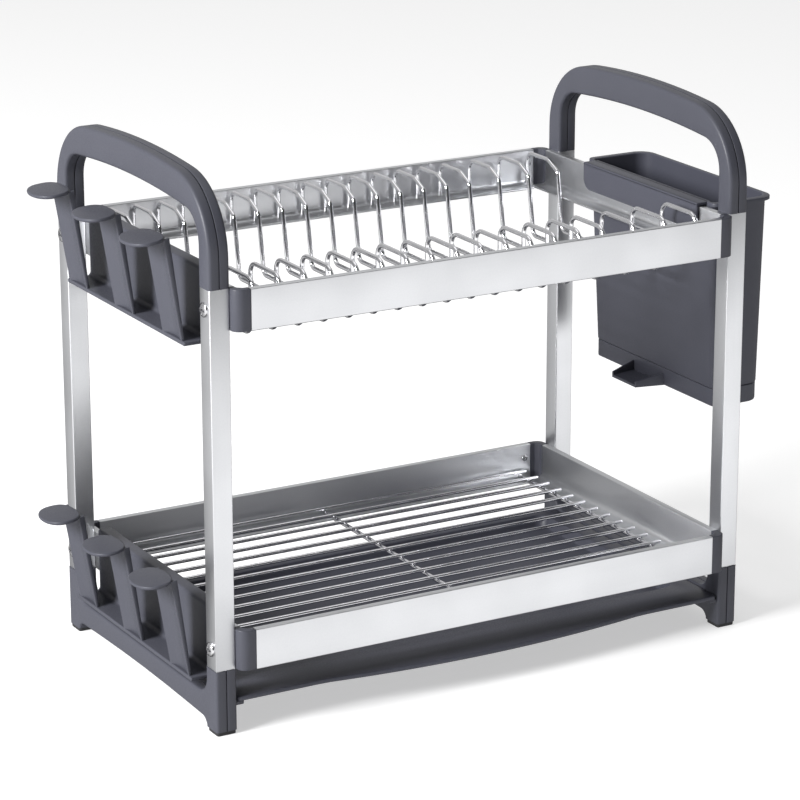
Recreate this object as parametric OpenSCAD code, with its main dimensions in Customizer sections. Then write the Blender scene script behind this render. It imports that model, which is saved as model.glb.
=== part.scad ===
// Two-tier dish drying rack: square-tube posts with moulded end handles and end bases, two extruded
// frames, a bent-wire plate rack, a welded wire grid, a drip tray that slides out to the front, two
// hook-on cup holders on the left and a hook-on utensil caddy with a removable drain base on the right.
// X runs to the right, Y to the rear and Z up. The origin is at the middle of the footprint, on the floor.

/* [Frame] */
// Width over the outer faces of the posts
rack_w = 435; // [380:1:520]
// Depth over the outer faces of the posts
rack_d = 246.5; // [230:0.5:300]
// Side of the square post tube
post_size = 15; // [12:0.5:20]
// Wall of the post tube
post_wall = 1.2; // [0.8:0.1:2]
// Top of the metal posts, where the handles begin
post_top = 320.5; // [300:0.5:360]
// Bottom of the metal posts, where the bases begin
post_bottom = 48; // [44:0.5:56]

/* [Tiers] */
// Height of the frame rails
rail_h = 29.5; // [26:0.5:36]
// Thickness of the hollow upright part of a rail
rail_t = 5.5; // [5:0.1:7]
// How far the frames stand out past the posts, front and rear
rail_proud = 8; // [4:0.5:12]
// Bottom of the lower frame
lower_z = 48; // [46:0.5:60]
// Bottom of the upper frame
upper_z = 291; // [280:0.5:300]
// Length of a corner piece along each side
corner_leg = 12.3; // [10:0.1:16]

/* [Handles and bases] */
// How far the moulded handles and bases stand out past the tube all round
sleeve_proud = 0.5; // [0.3:0.1:1]
// Top of the handle at its middle
handle_top = 397.5; // [390:0.5:420]
// Underside of the handle bar at its middle
handle_under = 375; // [365:0.5:385]
// Thickness of the rubber feet
foot_h = 3; // [2:0.5:5]

/* [Plate rack] */
// Diameter of the plate rack wire
plate_wire_d = 3.2; // [2.5:0.1:4]
// Pitch of the plate slots
slot_pitch = 20.05; // [18:0.05:21]
// Pitch of the wide slots at the right end
wide_pitch = 26.4; // [22:0.1:27]

/* [Lower grid] */
// Number of long wires
grid_count = 15; // [9:1:15]
// Pitch of the long wires
grid_pitch = 17.6; // [14:0.1:17.6]
// Diameter of the long wires
grid_wire_d = 3; // [2.5:0.1:4]
// Diameter of the cross bars
grid_bar_d = 3.5; // [3:0.1:5]

/* [Cup holders] */
// Length of a cup holder
holder_len = 184; // [170:1:190]
// Pitch of its three arms
arm_pitch = 77; // [70:1:77]
// Lean of the arms away from the rack, in degrees
arm_lean = 9.5; // [5:0.5:12]

/* [Utensil caddy] */
// Length of the caddy body at its top
caddy_len = 166; // [140:1:166]
// Depth of the caddy body at its top
caddy_depth = 53.5; // [45:0.5:60]
// Bottom of the caddy body, where the drain base begins
caddy_seam_z = 179.5; // [165:0.5:200]

/* [Hidden] */

plastic = "#6b6b76";
aluminium = "#c9c9cd";
chrome = "#e4e4e8";
rubber = "#1c1c1f";

half_w = rack_w / 2;
half_d = rack_d / 2;
post_x = half_w - post_size / 2;
post_y = half_d - post_size / 2;
eps = 0.01;
slice = 0.02;

// The two tier frames stand between the left and the right posts
frame_x = half_w - post_size;
frame_y = half_d + rail_proud;

// Handle and base mouldings: two halves that meet at a seam
sleeve_x0 = post_x - post_size / 2 - sleeve_proud;
sleeve_x1 = half_w + sleeve_proud;
seam_x = post_x;
sleeve_y = half_d + sleeve_proud;
sleeve_leg = post_size + 2 * sleeve_proud;
shell_wall = 2.2;
seam_groove = 0.35;
handle_outer_r = 54;
handle_inner_r = 22;
outer_crown_r = 800;
inner_crown_r = 900;
plug_len = 11;
plug_size = post_size - 2 * post_wall - 0.3;

// Base outline: the web between the legs and the low arch under it
web_top = 27;
web_fillet = 13;
arch_z = 8.5;
arch_rise = 2;
arch_fillet = 8;

// Rail section, measured inwards from the outer face and upwards from the bottom
rail_wall = 1.2;
flange_reach = 20;
side_flange_reach = 18.4;
flange_top = 3;
flange_t = 1.6;
cove_r = 3.5;
corner_r = 7;
tongue_len = 14;

// Post screws and the small screws that hold the corner pieces
screw_r = 2;
screw_head_r = 5.3;
screw_head_h = 2.4;
post_screw_up = 15;
upper_screw_z = upper_z + post_screw_up;
lower_screw_z = lower_z + post_screw_up;
screw_hole_r = screw_r + 0.2;
tongue_bore_r = screw_r + 0.15;
small_head_r = 2.5;
small_head_h = 1.4;
small_hole_r = 1.2;
small_screw_up = 18.5;
small_screw_x = frame_x - corner_leg - 5.6;

// Places of the plate wires, from the right
wire_right_x = 182.1;
wide_slots = 3;
narrow_slots = 14;
plate_wire_x = concat(
    [for (i = [0:wide_slots - 1]) wire_right_x - i * wide_pitch],
    [for (i = [0:narrow_slots]) wire_right_x - wide_slots * wide_pitch - i * slot_pitch]
);
flange_z = upper_z + flange_top;
wire_foot_y = 121.8;
wire_top_z = 319.7;
wire_low_z = 267.8;
tie_rod_d = 4;
tie_rod_y = [-22, 49];

// Lower grid
grid_bar_z = lower_z + flange_top + grid_bar_d / 2 + 0.05;
grid_wire_z = grid_bar_z + grid_bar_d / 2 + grid_wire_d / 2 + 0.05;
grid_half = 184.5;
grid_bar_x = 178;
grid_bar_reach = 122.5;

// Drip tray
tray_gap = 1.2;
tray_x = half_w - sleeve_leg + sleeve_proud - tray_gap;
tray_front = -half_d;
tray_rear = half_d - 15.5;
tray_bow = 10.5;
bow_half = 132;
tray_rim_z = 26.5;
tray_t = 2;
tray_skirt = 3;
pan_x = 186;
pan_front = tray_front + 34;
pan_rear = tray_rear - 9;
pan_depth = 9;
pan_r = 10;
ledge_z = tray_rim_z - tray_skirt - 0.3;
ledge_t = 3.2;
ledge_reach = 6.5;
ledge_front = 1.5 - half_d;
stop_t = 2.5;

// Cup holder, measured outwards from the middle of the rack
wall_out = frame_x + 0.4;
holder_wall = 2.7;
holder_floor_x = half_w + 6;
holder_floor_t = 3;
holder_drop = 44.5;
holder_r = 3;
hook_top = 6.3;
hook_in = frame_x - rail_t - 0.4;
hook_t = 2.4;
hook_drop = 13;
hook_r = 2.5;
arm_w = 30;
arm_t = 2.4;
arm_h = 75.5;
arm_flange_d = 5.5;
arm_flange_t = 2;
paddle_t = 2.8;
paddle_rx = 16;
paddle_ry = 18.5;
paddle_tilt = 6;
paddle_power = 0.85;
paddle_out = 28;
paddle_z = 74;

// Utensil caddy, measured outwards from the middle of the rack
caddy_y = -16.75;
caddy_in_top = frame_x + 1;
caddy_in_bottom = frame_x + 8.3;
caddy_out_bottom = frame_x + 52.3;
caddy_len_bottom = caddy_len - 3;
caddy_rim_z = 323.5;
caddy_rim_t = 2.6;
caddy_rim_flare = 3.8;
caddy_rim_lip = 1.5;
caddy_wall = 2;
caddy_outer_r = 13;
caddy_inner_r = 6;
caddy_hook_x = frame_x - rail_t - 0.5;
caddy_hook_t = 2.4;
caddy_hook_len = 153;
caddy_hook_drop = 21;
caddy_hook_r = 9;
caddy_socket = 6;
caddy_floor_t = 2;
drain_slots = 11;
drain_slot_pitch = 12;
drain_slot = [24, 4];
drain_z = 165.5;
drain_gap = 0.3;
drain_step = 0.4;
drain_recess = 2.2;
drain_collar = 4;
drain_floor = 2;
spout_w = 43;
spout_tip_w = 33;
spout_reach = 22;
spout_shift = 7;
spout_tip_h = 4.6;
spout_wall = 1.8;

// Middle of the whole object's footprint, which becomes the origin
reach_left = half_w + paddle_out + paddle_rx * cos(paddle_tilt) + paddle_t / 2 * sin(paddle_tilt);
reach_right = caddy_in_top + caddy_depth + caddy_rim_lip;
mid_x = (reach_right - reach_left) / 2;
mid_y = (frame_y - (half_d + tray_bow)) / 2;

// ---------- shared shapes ----------

module place() {
    translate([-mid_x, -mid_y, 0]) children();
}

module on_left() {
    mirror([1, 0, 0]) children();
}

module at_rear() {
    mirror([0, 1, 0]) children();
}

// Points of an arc in the plane, from angle a0 to angle a1
function arc(c, r, a0, a1, n) =
    [for (i = [0:n]) c + r * [cos(a0 + (a1 - a0) * i / n), sin(a0 + (a1 - a0) * i / n)]];

function flip(pts) = [for (i = [len(pts) - 1:-1:0]) [-pts[i][0], pts[i][1]]];

// Extrudes a drawing made in Y and Z along X, from x0 to x1
module along_x(x0, x1) {
    translate([x0, 0, 0]) rotate([90, 0, 90]) linear_extrude(x1 - x0) children();
}

// Extrudes a drawing made in X and Z along Y, from y0 to y1
module along_y(y0, y1) {
    translate([0, y1, 0]) rotate([90, 0, 0]) linear_extrude(y1 - y0) children();
}

module box(lo, hi) {
    translate(lo) cube(hi - lo);
}

// A rectangle with round corners, as a plain outline
module round_rect(lo, hi, r) {
    polygon(concat(
        arc([hi[0] - r, lo[1] + r], r, -90, 0, 8),
        arc([hi[0] - r, hi[1] - r], r, 0, 90, 8),
        arc([lo[0] + r, hi[1] - r], r, 90, 180, 8),
        arc([lo[0] + r, lo[1] + r], r, 180, 270, 8)
    ));
}

// ---------- posts ----------

module screw_axis(z, r, len) {
    translate([half_w - len, post_y, z]) rotate([0, 90, 0]) cylinder(h = len + 1, r = r, $fn = 32);
}

module post() {
    inner = post_x - post_size / 2;
    difference() {
        box([inner, post_y - post_size / 2, post_bottom], [half_w, half_d, post_top]);
        box([inner + post_wall, post_y - post_size / 2 + post_wall, post_bottom - 1],
            [half_w - post_wall, half_d - post_wall, post_top + 1]);
        screw_axis(upper_screw_z, screw_hole_r, post_size + 1);
        screw_axis(lower_screw_z, screw_hole_r, post_size + 1);
    }
}

module post_front_left() place() color(aluminium) on_left() at_rear() post();
module post_rear_left() place() color(aluminium) on_left() post();
module post_front_right() place() color(aluminium) at_rear() post();
module post_rear_right() place() color(aluminium) post();

// ---------- handles ----------

// Half of an arch outline: straight leg, corner and crown, at an inset from the true outline
function arch_half(leg, crown_z, corner_r, crown_r, inset) =
    let (
        r = corner_r - inset,
        big = crown_r - inset,
        cy = leg - inset - r,
        base = crown_z - crown_r,
        cz = base + sqrt((big - r) * (big - r) - cy * cy),
        turn = atan2(cz - base, cy)
    )
    concat(
        arc([cy, cz], r, 0, turn, 10),
        [for (i = [1:8]) [0, base] + big * [cos(turn + (90 - turn) * i / 8), sin(turn + (90 - turn) * i / 8)]]
    );

function arch(leg, bottom, crown_z, corner_r, crown_r, inset) =
    let (
        half = arch_half(leg, crown_z, corner_r, crown_r, inset),
        other = [for (p = flip(half)) if (p[0] < -eps) p]
    )
    concat([[leg - inset, bottom]], half, other, [[inset - leg, bottom]]);

module handle_outline(inset) {
    inner_leg = sleeve_y - sleeve_leg;
    difference() {
        polygon(arch(sleeve_y, post_top, handle_top, handle_outer_r, outer_crown_r, inset));
        polygon(arch(inner_leg, post_top - 1, handle_under, handle_inner_r, inner_crown_r, -inset));
    }
}

// One half of a handle: a skin, a wall round its edge that steps back at the seam, and its half plugs
module handle_half(x0, x1, skin_x0, skin_x1, seam_x0, seam_x1) {
    difference() {
        along_x(x0, x1) handle_outline(0);
        along_x(skin_x0, skin_x1) handle_outline(shell_wall);
        along_x(seam_x0, seam_x1) difference() {
            handle_outline(-1);
            handle_outline(seam_groove);
        }
    }
    for (s = [-1, 1]) half_plug(s, max(x0, post_x - plug_size / 2), min(x1, post_x + plug_size / 2),
        post_top - plug_len, post_top + shell_wall);
}

module half_plug(s, x0, x1, z0, z1) {
    translate([0, s * post_y, 0]) box([x0, -plug_size / 2, z0], [x1, plug_size / 2, z1]);
}

module handle_outer() {
    handle_half(seam_x, sleeve_x1, seam_x - 1, sleeve_x1 - shell_wall, seam_x - 1, seam_x + 0.5);
}

module handle_inner() {
    handle_half(sleeve_x0, seam_x, sleeve_x0 + shell_wall, seam_x + 1, seam_x - 0.5, seam_x + 1);
}

module handle_left_outer() place() color(plastic) on_left() handle_outer();
module handle_left_inner() place() color(plastic) on_left() handle_inner();
module handle_right_outer() place() color(plastic) handle_outer();
module handle_right_inner() place() color(plastic) handle_inner();

// ---------- bases ----------

// Half of a base outline, from the middle of its top edge round the leg to the middle of the arch
function base_half(inset) =
    let (
        leg_in = sleeve_y - sleeve_leg + inset,
        leg_out = sleeve_y - inset,
        top_r = web_fillet + inset,
        low_r = arch_fillet + inset,
        floor_z = foot_h + inset,
        low_c = [leg_in - low_r, arch_z - arch_fillet],
        reach = low_c[0],
        start = asin((floor_z - low_c[1]) / low_r)
    )
    concat(
        [[0, web_top - inset]],
        arc([leg_in - top_r, web_top - inset + top_r], top_r, -90, 0, 6),
        [[leg_in, post_bottom - inset], [leg_out, post_bottom - inset], [leg_out, floor_z]],
        arc(low_c, low_r, start, 90, 6),
        [for (i = [1:6]) [reach * (1 - i / 6), arch_z + inset + arch_rise * sin(90 * i / 6)]]
    );

module base_outline(inset) {
    half = base_half(inset);
    polygon(concat(half, [for (p = flip(half)) if (abs(p[0]) > eps) p]));
}

module base_side(x0, x1, skin_x0, skin_x1, seam_x0, seam_x1) {
    difference() {
        along_x(x0, x1) base_outline(0);
        along_x(skin_x0, skin_x1) base_outline(shell_wall);
        along_x(seam_x0, seam_x1) difference() {
            base_outline(-1);
            base_outline(seam_groove);
        }
    }
    for (s = [-1, 1]) half_plug(s, max(x0, post_x - plug_size / 2), min(x1, post_x + plug_size / 2),
        post_bottom - shell_wall, post_bottom + plug_len);
}

module base_outer() {
    base_side(seam_x, sleeve_x1, seam_x - 1, sleeve_x1 - shell_wall, seam_x - 1, seam_x + 0.5);
}

// The inner half carries the ledge that the drip tray slides on
module base_inner() {
    base_side(sleeve_x0, seam_x, sleeve_x0 + shell_wall, seam_x + 1, seam_x - 0.5, seam_x + 1);
    stop_y = tray_rear + 1.5;
    box([sleeve_x0 - ledge_reach, ledge_front, ledge_z - ledge_t], [sleeve_x0 + 1, stop_y + 1, ledge_z]);
    box([sleeve_x0 - ledge_reach, stop_y, ledge_z - ledge_t], [sleeve_x0 + 1, stop_y + stop_t, tray_rim_z]);
}

module base_left_outer() place() color(plastic) on_left() base_outer();
module base_left_inner() place() color(plastic) on_left() base_inner();
module base_right_outer() place() color(plastic) base_outer();
module base_right_inner() place() color(plastic) base_inner();

module foot() {
    inset = 0.6;
    lo = [sleeve_x0 + inset, sleeve_y - sleeve_leg + inset];
    hi = [sleeve_x1 - inset, sleeve_y - inset];
    linear_extrude(foot_h) round_rect(lo, hi, 1.5);
}

module foot_front_left() place() color(rubber) on_left() at_rear() foot();
module foot_rear_left() place() color(rubber) on_left() foot();
module foot_front_right() place() color(rubber) at_rear() foot();
module foot_rear_right() place() color(rubber) foot();

// ---------- tier frames ----------

// Hollow upright of a rail with its outer face at u = 0, growing inwards along +u, bottom at v = 0
module box_section() {
    difference() {
        square([rail_t, rail_h]);
        translate([rail_wall, rail_wall]) square([rail_t - 2 * rail_wall, rail_h - 2 * rail_wall]);
    }
}

// The flange at the foot of a rail, with a cove where it meets the upright and a round lip
module flange_section(reach) {
    lip = flange_t / 2;
    polygon(concat(
        [[rail_t - rail_wall, flange_top - flange_t]],
        arc([reach - lip, flange_top - lip], lip, -90, 90, 8),
        arc([rail_t + cove_r, flange_top + cove_r], cove_r, 270, 180, 6),
        [[rail_t - rail_wall, flange_top + cove_r]]
    ));
}

// Hole for a small screw through the inner wall of the long rails
module small_screw_hole(z) {
    for (s = [-1, 1]) translate([s * small_screw_x, frame_y - rail_t - 1, z + small_screw_up])
        rotate([-90, 0, 0]) cylinder(h = rail_wall + 1.5, r = small_hole_r, $fn = 24);
}

// A long rail, drawn as the rear one
module long_rail(z) {
    reach = frame_x - corner_leg;
    flange_end = frame_x - flange_reach - 0.4;
    difference() {
        union() {
            translate([-reach, frame_y, z]) rotate([90, 0, 90]) linear_extrude(2 * reach)
                mirror([1, 0]) box_section();
            translate([-flange_end, frame_y, z]) rotate([90, 0, 90]) linear_extrude(2 * flange_end)
                mirror([1, 0]) flange_section(flange_reach);
        }
        small_screw_hole(z);
    }
}

// A side rail, drawn as the right one, with the holes for the post screws
module side_rail(z) {
    reach = frame_y - corner_leg;
    difference() {
        translate([frame_x, reach, z]) rotate([90, 0, 0]) linear_extrude(2 * reach) mirror([1, 0]) {
            box_section();
            flange_section(side_flange_reach);
        }
        for (s = [-1, 1]) translate([frame_x - rail_wall - 0.5, s * post_y, z + post_screw_up])
            rotate([0, 90, 0]) cylinder(h = rail_wall + 1, r = screw_hole_r, $fn = 32);
    }
}

module upper_front_rail() place() color(aluminium) at_rear() long_rail(upper_z);
module upper_rear_rail() place() color(aluminium) long_rail(upper_z);
module upper_left_rail() place() color(aluminium) on_left() side_rail(upper_z);
module upper_right_rail() place() color(aluminium) side_rail(upper_z);
module lower_front_rail() place() color(aluminium) at_rear() long_rail(lower_z);
module lower_rear_rail() place() color(aluminium) long_rail(lower_z);
module lower_left_rail() place() color(aluminium) on_left() side_rail(lower_z);
module lower_right_rail() place() color(aluminium) side_rail(lower_z);

// A corner piece, drawn as the rear right one: a round elbow and a tongue into each rail
module corner_piece(z) {
    play = 0.15;
    deep = rail_wall + play;
    thick = rail_t - 2 * deep;
    x1 = frame_x;
    y1 = frame_y;
    difference() {
        union() {
            translate([0, 0, z]) linear_extrude(rail_h) polygon(concat(
                [[x1 - corner_leg, y1], [x1 - corner_leg, y1 - rail_t]],
                [[x1 - rail_t - 3, y1 - rail_t], [x1 - rail_t, y1 - rail_t - 3]],
                [[x1 - rail_t, y1 - corner_leg], [x1, y1 - corner_leg]],
                arc([x1 - corner_r, y1 - corner_r], corner_r, 0, 90, 10)
            ));
            box([x1 - corner_leg - tongue_len, y1 - deep - thick, z + deep],
                [x1 - corner_leg + 1, y1 - deep, z + rail_h - deep]);
            box([x1 - deep - thick, y1 - corner_leg - tongue_len, z + deep],
                [x1 - deep, y1 - corner_leg + 1, z + rail_h - deep]);
        }
        translate([x1 - rail_t, post_y, z + post_screw_up]) rotate([0, 90, 0])
            cylinder(h = rail_t + 1, r = tongue_bore_r, $fn = 32);
        translate([small_screw_x, y1 - rail_t, z + small_screw_up]) rotate([-90, 0, 0])
            cylinder(h = rail_t + 1, r = small_hole_r, $fn = 24);
    }
}

module upper_corner_front_left() place() color(plastic) on_left() at_rear() corner_piece(upper_z);
module upper_corner_rear_left() place() color(plastic) on_left() corner_piece(upper_z);
module upper_corner_front_right() place() color(plastic) at_rear() corner_piece(upper_z);
module upper_corner_rear_right() place() color(plastic) corner_piece(upper_z);
module lower_corner_front_left() place() color(plastic) on_left() at_rear() corner_piece(lower_z);
module lower_corner_rear_left() place() color(plastic) on_left() corner_piece(lower_z);
module lower_corner_front_right() place() color(plastic) at_rear() corner_piece(lower_z);
module lower_corner_rear_right() place() color(plastic) corner_piece(lower_z);

// ---------- screws ----------

// Pan head with a cross recess, pointing up, its seat at z = 0
module pan_head(r, h) {
    difference() {
        rotate_extrude($fn = 48) polygon(concat(
            [[0, 0], [r, 0], [r, h * 0.35]],
            [for (i = [1:6]) [r * cos(15 * i), h * (0.35 + 0.65 * sin(15 * i))]]
        ));
        for (a = [0, 90]) rotate([0, 0, a])
            box([-r * 0.55, -r * 0.11, h * 0.45], [r * 0.55, r * 0.11, h + 1]);
    }
}

module post_screw(z) {
    shank = post_size + rail_t - rail_wall;
    translate([half_w, post_y, z]) rotate([0, 90, 0]) pan_head(screw_head_r, screw_head_h);
    translate([half_w - shank, post_y, z]) rotate([0, 90, 0]) cylinder(h = shank, r = screw_r, $fn = 32);
}

module four_ways() {
    children();
    on_left() children();
    at_rear() children();
    on_left() at_rear() children();
}

module upper_post_screws() place() color(chrome) four_ways() post_screw(upper_screw_z);
module lower_post_screws() place() color(chrome) four_ways() post_screw(lower_screw_z);

module small_screw(z) {
    shank = rail_t - rail_wall - 0.2;
    translate([small_screw_x, frame_y - rail_t, z + small_screw_up]) {
        rotate([90, 0, 0]) pan_head(small_head_r, small_head_h);
        rotate([-90, 0, 0]) cylinder(h = shank, r = 1, $fn = 24);
    }
}

module corner_screws() place() color(chrome) for (z = [lower_z, upper_z]) four_ways() small_screw(z);

// ---------- plate rack ----------

// Corners of one plate wire in Y and Z with their bend radii, from the rear foot to the front foot
wire_corners = [
    [wire_foot_y, flange_z + 0.1, 0], [wire_foot_y, wire_top_z, 7.5], [91.5, wire_top_z, 10],
    [77.5, 313, 5], [71.3, 278, 9], [70, wire_low_z, 9], [-66.5, wire_low_z, 9], [-66.5, wire_top_z, 8],
    [-105.5, wire_top_z, 8], [-wire_foot_y, 301, 6], [-wire_foot_y, flange_z + 0.1, 0]
];

function unit(v) = v / norm(v);

// Rounds a corner between its neighbours with a few points of the tangent arc
function bend(prev, at, next, r) =
    let (
        a = unit(prev - at),
        b = unit(next - at),
        half = acos(a * b) / 2,
        back = min(r / tan(half), norm(prev - at) * 0.48, norm(next - at) * 0.48),
        p0 = at + a * back,
        p1 = at + b * back
    )
    half > 86 ? [at]
        : [for (t = [0:3]) let (s = t / 3) (1 - s) * (1 - s) * p0 + 2 * s * (1 - s) * at + s * s * p1];

function wire_path() =
    let (n = len(wire_corners), flat = [for (c = wire_corners) [c[0], c[1]]])
    concat([flat[0]],
        [for (i = [1:n - 2]) for (p = bend(flat[i - 1], flat[i], flat[i + 1], wire_corners[i][2])) p],
        [flat[n - 1]]);

// Sweeps a round bar along a path in the Y-Z plane at a given x
module planar_tube(path, x, d, sides) {
    n = len(path);
    steps = [for (i = [1:n - 1]) unit(path[i] - path[i - 1])];
    dirs = [for (i = [0:n - 1]) unit((i == 0 ? [0, 0] : steps[i - 1]) + (i == n - 1 ? [0, 0] : steps[i]))];
    rings = [for (i = [0:n - 1]) for (k = [0:sides - 1])
        let (a = 360 * (k + 0.5) / sides, m = d / 2 * cos(a))
        [x + d / 2 * sin(a), path[i][0] - m * dirs[i][1], path[i][1] + m * dirs[i][0]]];
    polyhedron(rings, concat(
        [[for (k = [sides - 1:-1:0]) k]],
        [for (i = [0:n - 2]) for (k = [0:sides - 1]) let (a = i * sides, b = a + sides, k1 = (k + 1) % sides)
            [a + k, a + k1, b + k1, b + k]],
        [[for (k = [0:sides - 1]) (n - 1) * sides + k]]
    ));
}

module plate_wires() place() color(chrome)
    for (x = plate_wire_x) planar_tube(wire_path(), x, plate_wire_d, 6);

// Two rods under the low run of the wires hold them at their pitch
module plate_tie_rods() place() color(chrome) {
    last = plate_wire_x[len(plate_wire_x) - 1];
    for (y = tie_rod_y) translate([last - 4, y, wire_low_z - plate_wire_d / 2 - tie_rod_d / 2 - 0.05])
        rotate([0, 90, 0]) cylinder(h = wire_right_x - last + 8, d = tie_rod_d, $fn = 32);
}

// ---------- lower grid ----------

module grid_wires() place() color(chrome)
    for (i = [0:grid_count - 1])
        translate([-grid_half, (i - (grid_count - 1) / 2) * grid_pitch, grid_wire_z])
            rotate([0, 90, 0]) cylinder(h = 2 * grid_half, d = grid_wire_d, $fn = 32);

module grid_bars() place() color(chrome)
    for (x = [-grid_bar_x, 0, grid_bar_x])
        translate([x, grid_bar_reach, grid_bar_z]) rotate([90, 0, 0])
            cylinder(h = 2 * grid_bar_reach, d = grid_bar_d, $fn = 32);

// ---------- drip tray ----------

// Tray outline with the bowed front edge, at an inset from the true edge
function tray_points(inset) = concat(
    [[tray_x - inset, tray_front + inset], [tray_x - inset, tray_rear - inset]],
    [[-tray_x + inset, tray_rear - inset], [-tray_x + inset, tray_front + inset]],
    [for (i = [-8:8]) [bow_half * i / 8, tray_front + inset - tray_bow * (1 - i * i / 64)]]
);

// Plan of the pan, grown by the wall
module pan_plan(wall) {
    round_rect([-pan_x - wall, pan_front - wall], [pan_x + wall, pan_rear + wall], pan_r + wall);
}

// A level rim with a skirt all round it, and a shallow pan let into it
module drip_tray() place() color(plastic) difference() {
    union() {
        translate([0, 0, tray_rim_z - tray_skirt]) linear_extrude(tray_skirt) polygon(tray_points(0));
        translate([0, 0, tray_rim_z - pan_depth - tray_t]) linear_extrude(pan_depth) pan_plan(tray_t);
    }
    translate([0, 0, tray_rim_z - tray_skirt - 1]) linear_extrude(tray_skirt + 1 - tray_t) difference() {
        polygon(tray_points(tray_t));
        pan_plan(tray_t);
    }
    translate([0, 0, tray_rim_z - pan_depth]) linear_extrude(pan_depth + 1) pan_plan(0);
}

// ---------- cup holders ----------

// Holder section in X and Z above its own floor: floor, back wall and the hook over the side rail
module holder_section() {
    top = holder_drop + hook_top;
    wall_in = wall_out + holder_wall;
    polygon(concat(
        [[holder_floor_x, 0], [holder_floor_x, holder_floor_t]],
        arc([wall_in + holder_r, holder_floor_t + holder_r], holder_r, 270, 180, 4),
        arc([wall_in - holder_r, top - holder_r], holder_r, 0, 90, 5),
        arc([hook_in - hook_t + hook_r, top - hook_r], hook_r, 90, 180, 5),
        [[hook_in - hook_t, top - hook_drop], [hook_in, top - hook_drop]],
        [[hook_in, holder_drop + 0.6], [wall_out, holder_drop + 0.6]],
        arc([wall_out + holder_r, holder_r], holder_r, 180, 270, 4)
    ));
}

// An arm: a leaning web between two side flanges that face the rack, drawn in X and Z
module arm_plate(depth, y0, y1) {
    slope = tan(arm_lean);
    along_y(y0, y1) polygon([
        [holder_floor_x - depth, 0.2], [holder_floor_x, 0.2],
        [holder_floor_x + slope * arm_h, arm_h], [holder_floor_x + slope * arm_h - depth, arm_h]
    ]);
}

// Paddles are ovals with slightly fuller sides
function swell(t) = sign(t) * pow(abs(t), paddle_power);

module paddle() {
    translate([half_w + paddle_out, 0, paddle_z]) rotate([0, paddle_tilt, 0])
        translate([0, 0, -paddle_t / 2]) linear_extrude(paddle_t)
            polygon([for (a = [0:10:350]) [paddle_rx * swell(cos(a)), paddle_ry * swell(sin(a))]]);
}

module arm() {
    intersection() {
        union() {
            arm_plate(arm_t, -arm_w / 2, arm_w / 2);
            arm_plate(arm_flange_d, -arm_w / 2, arm_flange_t - arm_w / 2);
            arm_plate(arm_flange_d, arm_w / 2 - arm_flange_t, arm_w / 2);
        }
        translate([half_w + paddle_out, 0, paddle_z]) rotate([0, paddle_tilt, 0])
            translate([-80, -50, -150]) cube([160, 100, 150]);
    }
}

// The left side is drawn on the right and mirrored over
module cup_holder(z) {
    on_left() translate([0, 0, z]) {
        along_y(-holder_len / 2, holder_len / 2) holder_section();
        for (i = [-1:1]) translate([0, i * arm_pitch, 0]) {
            arm();
            paddle();
        }
    }
}

module upper_cup_holder() place() color(plastic) cup_holder(upper_z + rail_h - holder_drop);
module lower_cup_holder() place() color(plastic) cup_holder(lower_z + rail_h - holder_drop);

// ---------- utensil caddy ----------

// Plan of the caddy, shrunk by an inset: small round corners at the rack, larger ones away from it
module caddy_plan(x0, x1, len, inset) {
    r0 = caddy_inner_r - inset;
    r1 = caddy_outer_r - inset;
    lo = [x0 + inset, caddy_y - len / 2 + inset];
    hi = [x1 - inset, caddy_y + len / 2 - inset];
    polygon(concat(
        arc([hi[0] - r1, lo[1] + r1], r1, -90, 0, 8),
        arc([hi[0] - r1, hi[1] - r1], r1, 0, 90, 8),
        arc([lo[0] + r0, hi[1] - r0], r0, 90, 180, 6),
        arc([lo[0] + r0, lo[1] + r0], r0, 180, 270, 6)
    ));
}

// The tapered block between the seam and the rim, shrunk by a wall all round
module caddy_block(wall, z0, z1) {
    hull() {
        translate([0, 0, z0]) linear_extrude(slice)
            caddy_plan(caddy_in_bottom, caddy_out_bottom, caddy_len_bottom, wall);
        translate([0, 0, z1 - slice]) linear_extrude(slice)
            caddy_plan(caddy_in_top, caddy_in_top + caddy_depth, caddy_len, wall);
    }
}

module caddy_hook() {
    x0 = caddy_hook_x - caddy_hook_t;
    half = caddy_hook_len / 2;
    bottom = caddy_rim_z - caddy_hook_drop;
    translate([0, caddy_y, 0]) {
        along_x(x0, caddy_hook_x) polygon(concat(
            [[half, caddy_rim_z], [-half, caddy_rim_z]],
            arc([-half + caddy_hook_r, bottom + caddy_hook_r], caddy_hook_r, 180, 270, 8),
            arc([half - caddy_hook_r, bottom + caddy_hook_r], caddy_hook_r, 270, 360, 8)
        ));
        box([x0, -half, caddy_rim_z - caddy_hook_t], [caddy_in_top + 3, half, caddy_rim_z]);
    }
}

module utensil_caddy() place() color(plastic) {
    difference() {
        union() {
            caddy_block(0, caddy_seam_z, caddy_rim_z);
            translate([0, 0, caddy_rim_z - caddy_rim_t]) linear_extrude(caddy_rim_t)
                caddy_plan(caddy_in_top, reach_right, caddy_len + 2 * caddy_rim_flare, 0);
        }
        caddy_block(caddy_wall, caddy_seam_z + caddy_socket + caddy_floor_t, caddy_rim_z + 4);
        translate([0, 0, caddy_seam_z - 1]) linear_extrude(caddy_socket + 1)
            caddy_plan(caddy_in_bottom, caddy_out_bottom, caddy_len_bottom, drain_recess);
        for (i = [0:drain_slots - 1])
            let (y = caddy_y + (i - (drain_slots - 1) / 2) * drain_slot_pitch - drain_slot[1] / 2)
            translate([caddy_in_bottom + 10, y, caddy_seam_z]) cube([drain_slot[0], drain_slot[1], 20]);
    }
    caddy_hook();
}

// Outline of the drain base in plan, shrunk by a wall
module drain_plan(wall) {
    caddy_plan(caddy_in_bottom, caddy_out_bottom, caddy_len_bottom, drain_step + wall);
}

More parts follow.
